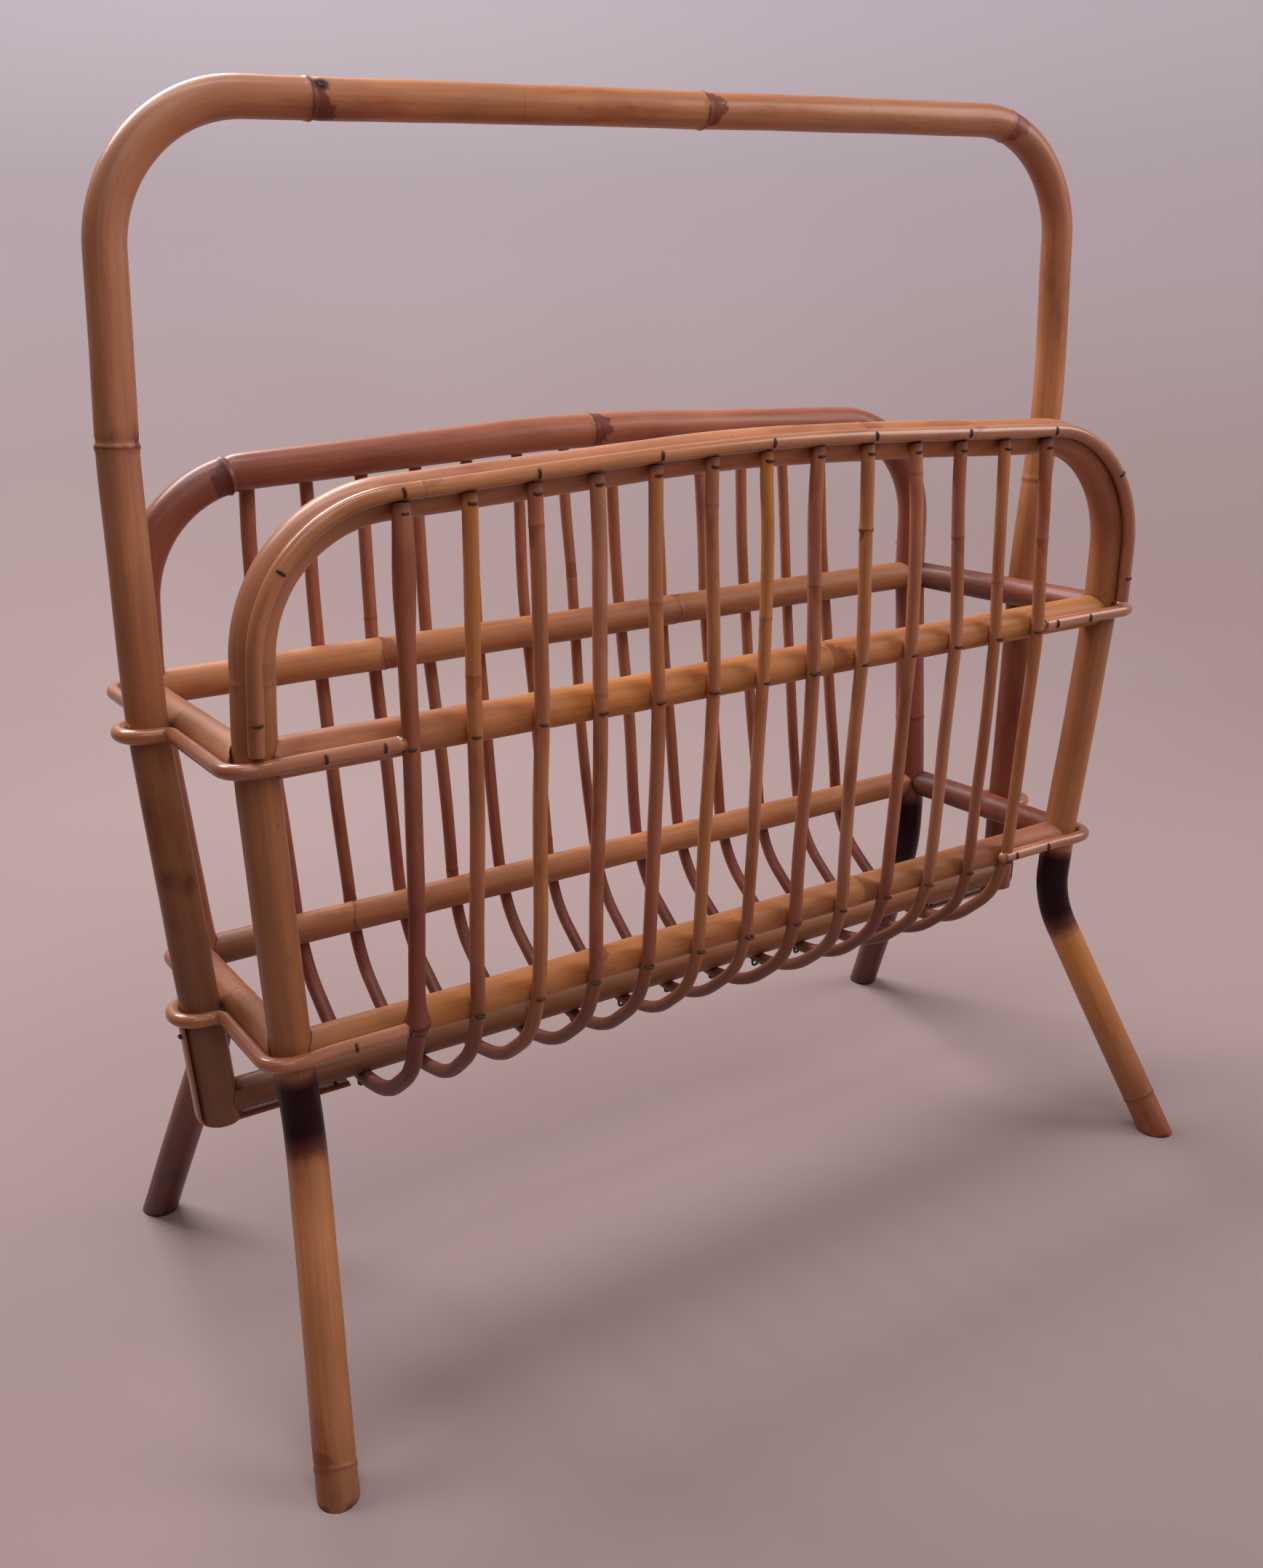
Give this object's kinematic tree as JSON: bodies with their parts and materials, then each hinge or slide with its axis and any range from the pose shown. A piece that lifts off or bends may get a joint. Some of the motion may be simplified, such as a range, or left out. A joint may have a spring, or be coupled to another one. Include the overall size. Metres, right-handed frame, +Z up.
{
  "type": "magazine rack",
  "caption": "Free-standing cane magazine rack: slatted basket between two arched panels on splayed legs, under a tall fixed hoop handle.",
  "frame": {"origin": "centre of the rack's box at the floor", "axes": "+X along the rack to its right end, -Y towards the front panel, +Z up"},
  "size_m": [0.5343, 0.2672, 0.5439],
  "materials": {
    "hoop_cane": "varnished honey-brown cane with darker node rings",
    "frame_cane": "varnished red-brown cane, scorched black at the leg bends",
    "rail_cane": "varnished golden-orange cane",
    "end_cane": "varnished dull brown cane",
    "slat_cane": "varnished brown cane",
    "bead_cane": "varnished light brown cane",
    "steel_wire": "dark oxidised wire"
  },
  "bodies": {
    "root": {"handle_hoop": "hoop_cane", "front_frame": "frame_cane", "back_frame": "frame_cane", "front_mid_rail": "rail_cane", "back_mid_rail": "rail_cane", "front_low_rail": "rail_cane", "back_low_rail": "rail_cane", "bottom_rail": "rail_cane", "left_upper_end_rail": "end_cane", "right_upper_end_rail": "end_cane", "left_lower_end_rail": "end_cane", "right_lower_end_rail": "end_cane", "slat_01": "slat_cane", "slat_02": "slat_cane", "slat_03": "slat_cane", "slat_04": "slat_cane", "slat_05": "slat_cane", "slat_06": "slat_cane", "slat_07": "slat_cane", "slat_08": "slat_cane", "slat_09": "slat_cane", "slat_10": "slat_cane", "slat_11": "slat_cane", "slat_12": "slat_cane", "slat_13": "slat_cane", "front_trim": "bead_cane", "back_trim": "bead_cane", "left_upper_binding": "bead_cane", "right_upper_binding": "bead_cane", "left_lower_binding": "bead_cane", "right_lower_binding": "bead_cane", "left_strap": "bead_cane", "right_strap": "bead_cane", "slat_staples": "steel_wire", "trim_staples": "steel_wire", "binding_staples": "steel_wire", "strap_staples": "steel_wire", "joint_nails": "steel_wire"}
  },
  "joints": []
}
